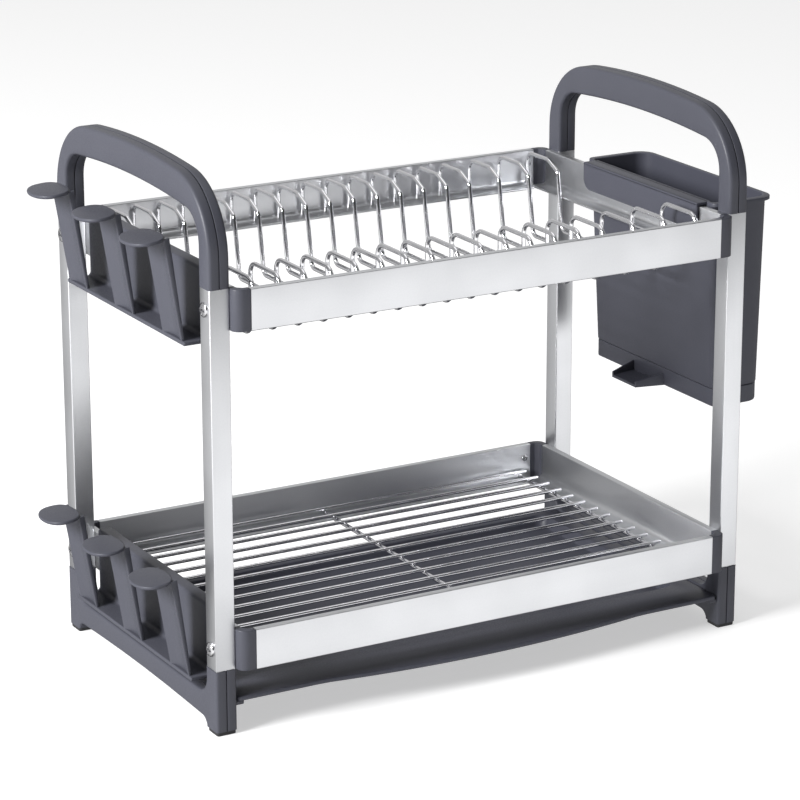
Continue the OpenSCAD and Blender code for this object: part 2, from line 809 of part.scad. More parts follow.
// Plan of the spout: it narrows from the base's inner wall to its open tip
module spout_plan(wall, past) {
    x1 = caddy_in_bottom + drain_step;
    x0 = x1 - spout_reach;
    translate([0, caddy_y + spout_shift, 0]) polygon([
        [x1 + 2.5, spout_w / 2 - wall], [x1, spout_w / 2 - wall], [x0 - past, spout_tip_w / 2 - wall],
        [x0 - past, wall - spout_tip_w / 2], [x1, wall - spout_w / 2], [x1 + 2.5, wall - spout_w / 2]
    ]);
}

module caddy_drain_base() place() color(plastic) {
    top = caddy_seam_z - drain_gap;
    floor_z = drain_z + drain_floor;
    x1 = caddy_in_bottom + drain_step;
    difference() {
        union() {
            translate([0, 0, drain_z]) linear_extrude(top - drain_z) drain_plan(0);
            translate([0, 0, top - 1]) linear_extrude(drain_collar + 1) drain_plan(drain_recess);
            intersection() {
                translate([0, 0, drain_z]) linear_extrude(top - drain_z) spout_plan(0, 0);
                along_y(-half_d, half_d) polygon([
                    [x1 + 5, drain_z], [x1 + 5, drain_z + 10], [x1, drain_z + 9.4],
                    [x1 - spout_reach, drain_z + spout_tip_h], [x1 - spout_reach, drain_z]
                ]);
            }
        }
        translate([0, 0, floor_z]) linear_extrude(30) drain_plan(caddy_wall + drain_recess - 0.2);
        translate([0, 0, floor_z]) linear_extrude(top - floor_z - eps) spout_plan(spout_wall, 1);
        translate([x1 - 0.1, caddy_y + spout_shift - spout_w / 2 + spout_wall, floor_z])
            cube([6, spout_w - 2 * spout_wall, top - floor_z - eps]);
    }
}

post_front_left();
post_rear_left();
post_front_right();
post_rear_right();
handle_left_outer();
handle_left_inner();
handle_right_outer();
handle_right_inner();
base_left_outer();
base_left_inner();
base_right_outer();
base_right_inner();
foot_front_left();
foot_rear_left();
foot_front_right();
foot_rear_right();
upper_front_rail();
upper_rear_rail();
upper_left_rail();
upper_right_rail();
lower_front_rail();
lower_rear_rail();
lower_left_rail();
lower_right_rail();
upper_corner_front_left();
upper_corner_rear_left();
upper_corner_front_right();
upper_corner_rear_right();
lower_corner_front_left();
lower_corner_rear_left();
lower_corner_front_right();
lower_corner_rear_right();
upper_post_screws();
lower_post_screws();
corner_screws();
plate_wires();
plate_tie_rods();
grid_wires();
grid_bars();
drip_tray();
upper_cup_holder();
lower_cup_holder();
utensil_caddy();
caddy_drain_base();
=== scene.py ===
import bpy
import numpy as np
from mathutils import Matrix, Vector


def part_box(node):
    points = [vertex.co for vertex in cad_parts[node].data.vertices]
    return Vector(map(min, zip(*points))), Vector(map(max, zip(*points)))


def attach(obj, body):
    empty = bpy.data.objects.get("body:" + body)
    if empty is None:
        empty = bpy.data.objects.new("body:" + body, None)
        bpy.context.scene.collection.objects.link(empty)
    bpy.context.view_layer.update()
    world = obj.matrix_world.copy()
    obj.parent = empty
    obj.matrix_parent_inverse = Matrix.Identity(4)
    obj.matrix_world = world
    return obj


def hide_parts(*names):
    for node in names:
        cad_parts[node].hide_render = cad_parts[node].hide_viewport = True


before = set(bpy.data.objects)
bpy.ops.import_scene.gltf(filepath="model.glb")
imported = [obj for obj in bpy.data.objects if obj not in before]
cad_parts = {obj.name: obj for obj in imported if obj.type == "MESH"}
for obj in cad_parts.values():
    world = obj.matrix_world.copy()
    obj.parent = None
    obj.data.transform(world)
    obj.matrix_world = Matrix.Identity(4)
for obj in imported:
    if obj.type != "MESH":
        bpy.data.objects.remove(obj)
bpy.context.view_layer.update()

# Two-tier dish rack. Shapes are worked out in millimetres from the middle of the rack's footprint and turned
# to metres in addPiece. Pieces at the corners and sides are drawn at the rear right and flipped to the others.

millimetre = 0.001


def boxOf(node):
    lo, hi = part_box(node)
    return np.array(lo) / millimetre, np.array(hi) / millimetre


# the four posts give the middle of the rack
postLo, postHi = boxOf("post_front_left")[0], boxOf("post_rear_right")[1]
middle = np.array([(postLo[0] + postHi[0]) / 2, (postLo[1] + postHi[1]) / 2, 0.0])


def reachOf(node):
    lo, hi = boxOf(node)
    return lo - middle, hi - middle


# A shape is its points and its faces.
def unit(v):
    return v / np.linalg.norm(v, axis=-1, keepdims=True)


def outward(points, quads, caps):
    # six times the enclosed volume is the sum of a . (b x c) over the triangles;
    # where it is below zero the faces look inwards, and are turned round
    triangles = [quads[:, [0, 1, 2]], quads[:, [0, 2, 3]]]
    triangles += [np.stack([np.full(len(c) - 2, c[0]), c[1:-1], c[2:]], 1) for c in caps]
    a, b, c = points[np.concatenate(triangles)].transpose(1, 0, 2)
    faces = quads.tolist() + [c.tolist() for c in caps]
    if np.einsum("ij,ij->", a, np.cross(b, c)) < 0:
        faces = [f[::-1] for f in faces]
    return points, faces


def loftShape(rings, closed=False):
    # rings of equal count joined in order; the two end rings are capped, or joined when the loft is closed
    rings = np.asarray(rings, float)
    count, around = rings.shape[:2]
    i, k = np.meshgrid(np.arange(count if closed else count - 1), np.arange(around), indexing="ij")
    j, m = (i + 1) % count, (k + 1) % around
    quads = np.stack([i * around + k, i * around + m, j * around + m, j * around + k], -1).reshape(-1, 4)
    last = (count - 1) * around
    caps = [] if closed else [np.arange(around)[::-1], np.arange(last, last + around)]
    return outward(rings.reshape(-1, 3), quads, caps)


def quarterRound(radius, steps):
    # along a quarter circle: how far in from the side, and how far along from the end
    if radius <= 0:
        return np.zeros(1), np.zeros(1)
    a = np.linspace(0, np.pi / 2, steps + 1)
    return radius * (1 - np.sin(a)), radius * (1 - np.cos(a))


def inwardStep(outline):
    # the move that shifts both edges at a point inwards by one
    area = np.cross(outline, np.roll(outline, -1, 0)).sum()
    edge = unit(np.roll(outline, -1, 0) - outline) * np.sign(area)
    inward = np.stack([-edge[:, 1], edge[:, 0]], 1)
    before = np.roll(inward, 1, 0)
    return (inward + before) / (1 + (inward * before).sum(1))[:, None]


axisOrder = {"x": (2, 0, 1), "y": (0, 2, 1), "z": (0, 1, 2)}


def slabShape(outline, lo, hi, roundLo, roundHi, axis, hold=None, steps=4, groove=None):
    # an outline carried from lo to hi along an axis, its edge at each end turned over on a quarter circle;
    # points in hold keep their height, so that a face which meets another part stays flat;
    # a groove (end, width, depth) steps the edge in at one end
    step = inwardStep(outline)
    if hold is not None:
        step[hold, 1] = 0
    insetLo, alongLo = quarterRound(roundLo, steps)
    insetHi, alongHi = quarterRound(roundHi, steps)
    end, width, depth = groove or (None, 0, 0)
    atLo, atHi = (width, 0) if end == "lo" else (0, width) if end == "hi" else (0, 0)
    inset = np.concatenate([insetLo, insetHi[::-1]])
    level = np.concatenate([lo + atLo + alongLo, hi - atHi - alongHi[::-1]])
    if end == "lo":
        inset, level = np.concatenate([[depth, depth], inset]), np.concatenate([[lo, lo + width], level])
    if end == "hi":
        inset, level = np.concatenate([inset, [depth, depth]]), np.concatenate([level, [hi - width, hi]])
    flat = outline[None] + inset[:, None, None] * step[None]
    rings = np.concatenate([flat, np.broadcast_to(level[:, None, None], flat.shape[:2] + (1,))], -1)
    return loftShape(rings[..., list(axisOrder[axis])])


def roundCorners(points, radii, steps=5, closed=True):
    # each corner becomes an arc that touches both its edges, r / tan(half the corner's angle) from the corner
    points = np.asarray(points, float)
    radii = np.broadcast_to(radii, len(points))
    toLast, toNext = unit(np.roll(points, 1, 0) - points), unit(np.roll(points, -1, 0) - points)
    half = np.arccos(np.clip((toLast * toNext).sum(1), -1, 1)) / 2
    t = np.linspace(0, 1, steps + 1)[:, None]
    made = []
    for n in range(len(points)):
        if radii[n] <= 0 or not closed and n in (0, len(points) - 1):
            made.append(points[n][None])
            continue
        centre = points[n] + unit(toLast[n] + toNext[n]) * radii[n] / np.sin(half[n])
        a = points[n] + toLast[n] * radii[n] / np.tan(half[n]) - centre
        b = points[n] + toNext[n] * radii[n] / np.tan(half[n]) - centre
        sweep = np.pi - 2 * half[n]
        made.append(centre + (np.sin((1 - t) * sweep) * a + np.sin(t * sweep) * b) / np.sin(sweep))
    return np.concatenate(made)


def rectangle(lo, hi, radii=0.0, steps=5):
    return roundCorners([[lo[0], lo[1]], [hi[0], lo[1]], [hi[0], hi[1]], [lo[0], hi[1]]], radii, steps)


def tubeShape(path, radius, side, sides=12, tip=0.6):
    # a circle carried along a flat path; side is square to the path's plane, and the tips are turned over
    path = np.asarray(path, float)
    steps = unit(np.diff(path, axis=0))
    along = unit(np.concatenate([steps[:1], steps]) + np.concatenate([steps, steps[-1:]]))
    inset, run = quarterRound(tip, 3)
    first, last = along[:1], along[-1:]
    centres = np.concatenate([path[:1] + run[:, None] * first, path[1:-1], path[-1:] - run[::-1, None] * last])
    along = np.concatenate([np.repeat(first, len(run), 0), along[1:-1], np.repeat(last, len(run), 0)])
    size = radius - np.concatenate([inset, np.zeros(len(path) - 2), inset[::-1]])
    across = unit(np.cross(along, side))
    a = np.arange(sides) * 2 * np.pi / sides
    ring = np.cos(a)[None, :, None] * np.asarray(side, float) + np.sin(a)[None, :, None] * across[:, None]
    return loftShape(centres[:, None] + size[:, None, None] * ring)


def flipShape(shape, flipX=False, flipY=False):
    points, faces = shape
    points = points * [-1 if flipX else 1, -1 if flipY else 1, 1]
    return points, [f[::-1] for f in faces] if flipX != flipY else faces


def moveShape(shape, offset, turn=None):
    points, faces = shape
    return (points if turn is None else points @ np.asarray(turn).T) + offset, faces


def joinShapes(shapes):
    starts = np.cumsum([0] + [len(s[0]) for s in shapes])
    faces = [[i + start for i in f] for s, start in zip(shapes, starts) for f in s[1]]
    return np.concatenate([s[0] for s in shapes]), faces


def addPiece(name, node, body, finish, shapes, flipX=False, flipY=False, sharpAngle=38):
    points, faces = flipShape(joinShapes(shapes), flipX, flipY)
    mesh = bpy.data.meshes.new(name)
    mesh.from_pydata(((points + middle) * millimetre).tolist(), [], faces)
    mesh.polygons.foreach_set("use_smooth", np.ones(len(mesh.polygons), bool))
    mesh.set_sharp_from_angle(angle=np.radians(sharpAngle))
    mesh.materials.append(finish)
    mesh.validate()
    piece = bpy.data.objects.new(name, mesh)
    bpy.context.scene.collection.objects.link(piece)
    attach(piece, body)
    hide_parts(node)
    return piece


corners = {"front_left": (True, True), "rear_left": (True, False),
           "front_right": (False, True), "rear_right": (False, False)}
sides = {"left": True, "right": False}


def camelName(node, ending=""):
    first, *rest = node.split("_")
    return first + "".join(word.capitalize() for word in rest) + ending


# angles in degrees, distance and aim in metres, the rest in millimetres of lens and sensor
cameraSettings = {"azimuth": -29.555, "elevation": 17.301, "roll": -0.077, "distance": 2.44721,
                  "aim": (-0.00088, 0.0005, 0.17852), "lens": 149.207, "sensor": 36, "clip": (0.1, 100)}


def addCamera(s):
    azimuth, elevation, roll = np.radians([s["azimuth"], s["elevation"], s["roll"]])
    forward = Vector((-np.sin(azimuth) * np.cos(elevation), np.cos(azimuth) * np.cos(elevation),
                      -np.sin(elevation)))
    level = Vector((np.cos(azimuth), np.sin(azimuth), 0))
    right = level * np.cos(roll) + level.cross(forward) * np.sin(roll)
    up = right.cross(forward)
    camera = bpy.data.objects.new("camera", bpy.data.cameras.new("camera"))
    camera.data.lens = s["lens"]
    camera.data.sensor_width = s["sensor"]
    camera.data.clip_start, camera.data.clip_end = s["clip"]
    turn = Matrix((right, up, -forward)).transposed()
    camera.matrix_world = Matrix.Translation(Vector(s["aim"]) - forward * s["distance"]) @ turn.to_4x4()
    bpy.context.scene.collection.objects.link(camera)
    bpy.context.scene.camera = camera


addCamera(cameraSettings)
print("camera placed")


def hexColour(code):
    # sRGB hex to linear: below 0.04045 a straight line, above it ((c + 0.055) / 1.055) ^ 2.4
    c = np.array([int(code[i:i + 2], 16) for i in (1, 3, 5)]) / 255
    return (*np.where(c <= 0.04045, c / 12.92, ((c + 0.055) / 1.055) ** 2.4), 1.0)


def addNode(tree, kind, settings=(), inputs=()):
    # a node with its settings; an input is a value, or another node's socket to link from
    node = tree.nodes.new(kind)
    for key, value in dict(settings).items():
        setattr(node, key, value)
    for key, value in dict(inputs).items():
        if isinstance(value, bpy.types.NodeSocket):
            tree.links.new(value, node.inputs[key])
        else:
            node.inputs[key].default_value = value
    return node


def newFinish(name):
    material = bpy.data.materials.new(name)
    material.use_nodes = True
    material.node_tree.nodes.clear()
    return material, material.node_tree


def noise(tree, place, size, detail):
    # a noise whose features have a real size in millimetres
    return addNode(tree, "ShaderNodeTexNoise", {}, {
        "Vector": place, "Scale": 1 / (size * millimetre), "Detail": detail}).outputs["Fac"]


def tintBetween(tree, share, first, second):
    tint = addNode(tree, "ShaderNodeMix", {"data_type": "RGBA"}, {"Factor": share})
    tint.inputs["A"].default_value, tint.inputs["B"].default_value = hexColour(first), hexColour(second)
    return tint.outputs["Result"]


# Moulded ABS in a spark-eroded tool: an even satin, with a very fine grain that breaks up the highlight.
# A typical grain is 0.1 mm wide; it is drawn 1.1 mm wide so that it shows. Sizes in millimetres.
plasticSettings = {"colour": "#46474f", "shade": "#41424a", "roughness": 0.40, "spread": 0.07, "grain": 1.1,
                   "cloud": 35, "depth": 0.010, "ior": 1.53, "gloss": 0.22}
noiseMiddle = {"From Min": 0.3, "From Max": 0.7}   # where nearly all of a noise texture's values lie


def mouldedPlastic(name, s):
    material, tree = newFinish(name)
    place = addNode(tree, "ShaderNodeTexCoord").outputs["Object"]
    grain = noise(tree, place, s["grain"], 2)
    tint = tintBetween(tree, noise(tree, place, s["cloud"], 3), s["colour"], s["shade"])
    rough = addNode(tree, "ShaderNodeMapRange", {}, {
        "Value": grain, **noiseMiddle,
        "To Min": s["roughness"] - s["spread"], "To Max": s["roughness"] + s["spread"]})
    bump = addNode(tree, "ShaderNodeBump", {}, {
        "Height": grain, "Distance": s["depth"] * millimetre, "Strength": 1.0})
    shader = addNode(tree, "ShaderNodeBsdfPrincipled", {}, {
        "Base Color": tint, "Roughness": rough.outputs["Result"], "IOR": s["ior"],
        "Specular IOR Level": s["gloss"], "Normal": bump.outputs["Normal"]})
    addNode(tree, "ShaderNodeOutputMaterial", {}, {"Surface": shader.outputs["BSDF"]})
    return material


# Anodised extruded aluminium, fine glass-bead blasted: a soft metal sheen with tiny speckles, and faint lines
# along the extrusion. A typical pit is 0.15 mm wide; it is drawn 0.9 mm wide so that it shows.
aluminiumSettings = {"colour": "#d9dadc", "shade": "#cfd0d3", "roughness": 0.38, "spread": 0.05, "pit": 0.9,
                     "drawLine": 0.8, "drawLength": 60, "drawShare": 0.35, "cloud": 45, "depth": 0.0015}


def blastedAluminium(name, s, grainAxis):
    material, tree = newFinish(name)
    place = addNode(tree, "ShaderNodeTexCoord").outputs["Object"]
    # the lines' noise is scaled here to millimetres, far longer along the extrusion than across it
    stretch = [1 / s["drawLine"]] * 3
    stretch[grainAxis] = 1 / s["drawLength"]
    lined = addNode(tree, "ShaderNodeMapping", {}, {"Vector": place, "Scale": stretch})
    pits, cloud = noise(tree, place, s["pit"], 3), noise(tree, place, s["cloud"], 2)
    lines = noise(tree, lined.outputs["Vector"], 1.0, 2)
    tint = tintBetween(tree, pits, s["shade"], s["colour"])
    both = addNode(tree, "ShaderNodeMix", {"data_type": "FLOAT"}, {"Factor": s["drawShare"]})
    tree.links.new(pits, both.inputs["A"])
    tree.links.new(lines, both.inputs["B"])
    uneven = addNode(tree, "ShaderNodeMath", {"operation": "ADD"},
                     {0: both.outputs["Result"], 1: cloud})
    rough = addNode(tree, "ShaderNodeMapRange", {}, {
        "Value": uneven.outputs["Value"], "From Min": 0.7, "From Max": 1.3,   # the middle of two noises' sum
        "To Min": s["roughness"] - s["spread"], "To Max": s["roughness"] + s["spread"]})
    bump = addNode(tree, "ShaderNodeBump", {}, {
        "Height": both.outputs["Result"], "Distance": s["depth"] * millimetre, "Strength": 1.0})
    shader = addNode(tree, "ShaderNodeBsdfPrincipled", {}, {
        "Base Color": tint, "Metallic": 1.0, "Roughness": rough.outputs["Result"],
        "Normal": bump.outputs["Normal"]})
    addNode(tree, "ShaderNodeOutputMaterial", {}, {"Surface": shader.outputs["BSDF"]})
    return material


# Bright metals: chrome-plated steel wire is a mirror with faint polishing marks, and a stainless screw is
# duller. A typical mark is 0.2 mm wide; it is drawn 3 and 1.2 mm wide so that it shows.
brightSettings = {
    "wire": {"colour": "#e9e9ec", "roughness": 0.07, "spread": 0.025, "mark": 3.0, "depth": 0.0006},
    "screw": {"colour": "#cfcfd1", "roughness": 0.20, "spread": 0.05, "mark": 1.2, "depth": 0.003},
}


def brightMetal(name, s):
    material, tree = newFinish(name)
    place = addNode(tree, "ShaderNodeTexCoord").outputs["Object"]
    marks = noise(tree, place, s["mark"], 3)
    rough = addNode(tree, "ShaderNodeMapRange", {}, {
        "Value": marks, **noiseMiddle,
        "To Min": s["roughness"] - s["spread"], "To Max": s["roughness"] + s["spread"]})
    bump = addNode(tree, "ShaderNodeBump", {}, {
        "Height": marks, "Distance": s["depth"] * millimetre, "Strength": 1.0})
    shader = addNode(tree, "ShaderNodeBsdfPrincipled", {}, {
        "Base Color": hexColour(s["colour"]), "Metallic": 1.0, "Roughness": rough.outputs["Result"],
        "Normal": bump.outputs["Normal"]})
    addNode(tree, "ShaderNodeOutputMaterial", {}, {"Surface": shader.outputs["BSDF"]})
    return material


# Moulded rubber: near black and matt, with a coarse moulded grain
rubberSettings = {"colour": "#19191b", "worn": "#29292c", "roughness": 0.72, "grain": 1.4, "depth": 0.05,
                  "ior": 1.52}


def mouldedRubber(name, s):
    material, tree = newFinish(name)
    place = addNode(tree, "ShaderNodeTexCoord").outputs["Object"]
    grain = noise(tree, place, s["grain"], 3)
    tint = tintBetween(tree, grain, s["colour"], s["worn"])
    bump = addNode(tree, "ShaderNodeBump", {}, {
        "Height": grain, "Distance": s["depth"] * millimetre, "Strength": 1.0})
    shader = addNode(tree, "ShaderNodeBsdfPrincipled", {}, {
        "Base Color": tint, "Roughness": s["roughness"], "IOR": s["ior"],
        "Normal": bump.outputs["Normal"]})
    addNode(tree, "ShaderNodeOutputMaterial", {}, {"Surface": shader.outputs["BSDF"]})
    return material


handlePlastic = mouldedPlastic("mouldedGreyAbs", plasticSettings)
trayPlastic = mouldedPlastic("mouldedGreyPolypropylene",
                             {**plasticSettings, "colour": "#464750", "shade": "#41424b"})
railAlongX = blastedAluminium("blastedAluminiumLongRail", aluminiumSettings, 0)
railAlongY = blastedAluminium("blastedAluminiumSideRail", aluminiumSettings, 1)
postAlongZ = blastedAluminium("blastedAluminiumPost", aluminiumSettings, 2)
chromeWire = brightMetal("chromePlatedWire", brightSettings["wire"])
screwSteel = brightMetal("stainlessScrew", brightSettings["screw"])
footRubber = mouldedRubber("mouldedRubber", rubberSettings)
print("finishes made")

# Posts: square tubes with small round corners

postSettings = {"cornerRadius": 0.9, "endRound": 0.2}
for corner in corners:
    s, (lo, hi) = postSettings, reachOf("post_" + corner)
    outline = rectangle(lo[:2], hi[:2], s["cornerRadius"])
    shape = slabShape(outline, lo[2], hi[2], s["endRound"], s["endRound"], "z", steps=2)
    addPiece(camelName("post_" + corner), "post_" + corner, "frame", postAlongZ, [shape])
print("posts made")

# Handles: two moulded halves that meet at a seam

handleSettings = {"legWidth": 16.0, "topRadius": 54.0, "crownRadius": 800.0, "gripThickness": 22.5,
                  "innerRadius": 22.0, "innerCrownRadius": 900.0, "edgeRadius": 2.6, "seamRadius": 0.25,
                  "groove": (0.4, 1.1)}


def archCurve(leg, crown, cornerRadius, crownRadius):
    # right half: an arc round the corner, then a flat arc to the crown, both tangent;
    # the left half is its mirror
    base, across = crown - crownRadius, leg - cornerRadius
    up = base + np.sqrt((crownRadius - cornerRadius) ** 2 - across ** 2)
    turn = np.arctan2(up - base, across)
    a, b = np.linspace(0, turn, 19)[:, None], np.linspace(turn, np.pi / 2, 17)[1:, None]
    half = np.concatenate([[across, up] + cornerRadius * np.hstack([np.cos(a), np.sin(a)]),
                           [0, base] + crownRadius * np.hstack([np.cos(b), np.sin(b)])])
    return np.concatenate([half, half[-2::-1] * [-1, 1]])


def handleOutline(s, reach, bottom, top):
    outer = archCurve(reach, top, s["topRadius"], s["crownRadius"])
    inner = archCurve(reach - s["legWidth"], top - s["gripThickness"], s["innerRadius"], s["innerCrownRadius"])
    feet = [reach, reach - s["legWidth"]]
    outline = np.concatenate([[[feet[0], bottom]], outer, [[-feet[0], bottom], [-feet[1], bottom]],
                              inner[::-1], [[feet[1], bottom]]])
    return outline, np.abs(outline[:, 1] - bottom) < 0.01


for side, flip in sides.items():
    s = handleSettings
    for half in ("inner", "outer"):
        node = f"handle_{side}_{half}"
        lo, hi = reachOf(node)
        x0, x1 = sorted(np.abs([lo[0], hi[0]]))
        outline, hold = handleOutline(s, hi[1], postHi[2], hi[2])
        rounds = (s["seamRadius"], s["edgeRadius"]) if half == "outer" else (s["edgeRadius"], s["seamRadius"])
        groove = ("lo" if half == "outer" else "hi", *s["groove"])
        shape = slabShape(outline, x0, x1, *rounds, "x", hold, steps=5, groove=groove)
        addPiece(camelName(node), node, "frame", handlePlastic, [shape], flip)
print("handles made")

# Bases: two moulded halves, with the tray's ledge on the inner one

baseSettings = {"legWidth": 16.0, "webTop": 27.0, "webFillet": 13.0, "archBottom": 8.5, "archRise": 2.0,
                "archFillet": 8.0, "edgeRadius": 2.0, "seamRadius": 0.25, "groove": (0.4, 1.1),
                "top": 48.0, "bottom": 3.0, "ledgeReach": 6.5, "ledgeTop": 23.2, "ledgeThick": 3.2,
                "ledgeFront": -121.75, "ledgeInto": 1.0, "stopY": (109.25, 111.75), "stopTop": 26.5,
                "ledgeRound": 0.9}


def baseOutline(s, reach):
    legIn = reach - s["legWidth"]
    a, b = np.linspace(-90, 0, 11)[:, None] * np.pi / 180, np.linspace(0, 1, 13)[:, None]
    lowCentre = np.array([legIn - s["archFillet"], s["archBottom"] - s["archFillet"]])
    start = np.arcsin((s["bottom"] - lowCentre[1]) / s["archFillet"])
    c = np.linspace(start, np.pi / 2, 9)[:, None]
    webCentre = [legIn - s["webFillet"], s["webTop"] + s["webFillet"]]
    # half of the arch, from the top of the web over the leg and back under it: b is the share of the way out
    half = np.concatenate([
        [[0, s["webTop"]]],
        webCentre + s["webFillet"] * np.hstack([np.cos(a), np.sin(a)]),
        [[legIn, s["top"]], [reach, s["top"]], [reach, s["bottom"]]],
        lowCentre + s["archFillet"] * np.hstack([np.cos(c), np.sin(c)]),
        np.hstack([lowCentre[0] * (1 - b), s["archBottom"] + s["archRise"] * np.sin(b * np.pi / 2)])[1:]])
    outline = np.concatenate([half, half[-2:0:-1] * [-1, 1]])
    return outline, np.isclose(outline[:, 1], s["top"]) | (outline[:, 1] < s["bottom"] + 0.01)


for side, flip in sides.items():
    s = baseSettings
    for half in ("inner", "outer"):
        node = f"base_{side}_{half}"
        lo, hi = reachOf(node)
        x0, x1 = sorted(abs(end[0]) for end in reachOf(f"handle_{side}_{half}"))   # as thick as the handle
        outline, hold = baseOutline(s, hi[1] if half == "outer" else -lo[1])
        rounds = (s["seamRadius"], s["edgeRadius"]) if half == "outer" else (s["edgeRadius"], s["seamRadius"])
        groove = ("lo" if half == "outer" else "hi", *s["groove"])
        shapes = [slabShape(outline, x0, x1, *rounds, "x", hold, steps=4, groove=groove)]
        if half == "inner":
            low = [x0 - s["ledgeReach"], s["ledgeTop"] - s["ledgeThick"]]
            radii = [s["ledgeRound"], 0, 0, s["ledgeRound"]]
            ledge = rectangle(low, [x0 + s["ledgeInto"], s["ledgeTop"]], radii)
            stop = rectangle(low, [x0 + s["ledgeInto"], s["stopTop"]], radii)
            shapes.append(slabShape(ledge, s["ledgeFront"], s["stopY"][0], s["ledgeRound"], 0, "y"))
            shapes.append(slabShape(stop, s["stopY"][0], s["stopY"][1], 0, s["ledgeRound"], "y"))
        addPiece(camelName(node), node, "frame", handlePlastic, shapes, flip)
print("bases made")

# Feet: rubber pads under the legs

footSettings = {"cornerRadius": 1.8, "soleRound": 0.9}
for corner in corners:
    s, (lo, hi) = footSettings, reachOf("foot_" + corner)
    shape = slabShape(rectangle(lo[:2], hi[:2], s["cornerRadius"]), lo[2], hi[2], s["soleRound"], 0, "z")
    addPiece(camelName("foot_" + corner), "foot_" + corner, "frame", footRubber, [shape])
print("feet made")

# Tier frames: extruded rails with a flange at the foot, joined by moulded corners

railSettings = {"thick": 5.5, "wall": 1.2, "edgeRadius": 0.7, "flangeTop": 3.0, "flangeThick": 1.6,
                "coveRadius": 3.5, "lip": 0.8, "endRound": 0.25, "longFlangeShort": 8.1}


def flangeOutline(s, reach, bottom):
    # across the rail from its outer face: underside, round lip, top and the hollow cove up to the upright
    a, b = np.linspace(-90, 90, 9)[:, None] * np.pi / 180, np.linspace(270, 180, 9)[:, None] * np.pi / 180
    inside, top = s["thick"] - s["wall"], bottom + s["flangeTop"]
    return np.concatenate([
        [[inside, top - s["flangeThick"]]],
        [reach - s["lip"], top - s["lip"]] + s["lip"] * np.hstack([np.cos(a), np.sin(a)]),
        np.array([s["thick"], top]) + s["coveRadius"] + s["coveRadius"] * np.hstack([np.cos(b), np.sin(b)]),
        [[inside, top + s["coveRadius"]]]])


for tier in ("upper", "lower"):
    s = railSettings
    for place, flipY in (("front", True), ("rear", False)):
        node = f"{tier}_{place}_rail"
        lo, hi = reachOf(node)
        face, depth, bottom, end = max(abs(lo[1]), abs(hi[1])), hi[1] - lo[1], lo[2], hi[0]
        upright = rectangle([face - s["thick"], bottom], [face, hi[2]], s["edgeRadius"])
        flange = flangeOutline(s, depth, bottom) * [-1, 1] + [face, 0]
        flangeEnd = end - s["longFlangeShort"]
        shapes = [slabShape(upright, -end, end, s["endRound"], s["endRound"], "x", steps=2),
                  slabShape(flange, -flangeEnd, flangeEnd, s["endRound"], s["endRound"], "x", steps=2)]
        addPiece(camelName(node), node, "frame", railAlongX, shapes, False, flipY)
    for place, flipX in sides.items():
        node = f"{tier}_{place}_rail"
        lo, hi = reachOf(node)
        face, depth, bottom, end = max(abs(lo[0]), abs(hi[0])), hi[0] - lo[0], lo[2], hi[1]
        upright = rectangle([face - s["thick"], bottom], [face, hi[2]], s["edgeRadius"])
        flange = flangeOutline(s, depth, bottom) * [-1, 1] + [face, 0]
        shapes = [slabShape(upright, -end, end, s["endRound"], s["endRound"], "y", steps=2),
                  slabShape(flange, -end, end, s["endRound"], s["endRound"], "y", steps=2)]
        addPiece(camelName(node), node, "frame", railAlongY, shapes, flipX)
print("rails made")

cornerSettings = {"leg": 12.3, "outerRadius": 7.0, "endRadius": 0.3, "bevelRadius": 1.5, "thick": 5.5,
                  "innerBevel": 3.0, "edgeRadius": 0.7, "play": 0.15}
for tier in ("upper", "lower"):
    for corner, (flipX, flipY) in corners.items():
        s, node = cornerSettings, f"{tier}_corner_{corner}"
        lo, hi = reachOf(node)
        x1, y1 = np.abs([lo, hi]).max(0)[:2]
        inX, inY, leg = x1 - s["thick"], y1 - s["thick"], s["leg"] - s["play"]
        soft, mild = s["endRadius"], s["bevelRadius"]
        legX, legY = x1 - leg, y1 - leg
        outline = roundCorners(
            [[legX, y1], [legX, inY], [inX - s["innerBevel"], inY], [inX, inY - s["innerBevel"]],
             [inX, legY], [x1, legY], [x1, y1]], [soft, soft, mild, mild, soft, soft, s["outerRadius"]], 6)
        shape = slabShape(outline, lo[2], hi[2], s["edgeRadius"], s["edgeRadius"], "z", steps=3)
        addPiece(camelName(node), node, "frame", handlePlastic, [shape], flipX, flipY)
print("corner pieces made")

# Screws: pan heads with a cross recess

# the rim's height and the cross's depth are shares of the head's height, and the cross's length, width and
# soft edge are shares of its radius
screwSettings = {"rimHeight": 0.35, "crossLength": 0.66, "crossWidth": 0.15, "crossDepth": 0.85, "soft": 0.04,
                 "post": {"radius": 5.3, "height": 2.4, "rings": 30, "spokes": 128},
                 "small": {"radius": 2.5, "height": 1.4, "rings": 12, "spokes": 48}}


def panHead(s, size):
    # over the disc: height h (rim + (1 - rim) sqrt(1 - rho^2)), less the cross, whose arms are bands
    # through the middle; the first ring is small and closed by a cap
    rho = np.linspace(0.03, 1, size["rings"])[:, None]
    a = np.arange(size["spokes"])[None] * 2 * np.pi / size["spokes"]
    u, v = rho * np.cos(a), rho * np.sin(a)
    near, far = np.minimum(np.abs(u), np.abs(v)), np.maximum(np.abs(u), np.abs(v))
    inside = np.clip(0.5 - np.maximum(near - s["crossWidth"], far - s["crossLength"]) / s["soft"], 0, 1)
    dome = s["rimHeight"] + (1 - s["rimHeight"]) * np.sqrt(1 - rho ** 2) - s["crossDepth"] * inside
    rings = np.stack([u * size["radius"], v * size["radius"], dome * size["height"]], -1)
    seat = rings[-1:] * [1, 1, 0]
    return loftShape(np.concatenate([rings, seat]))


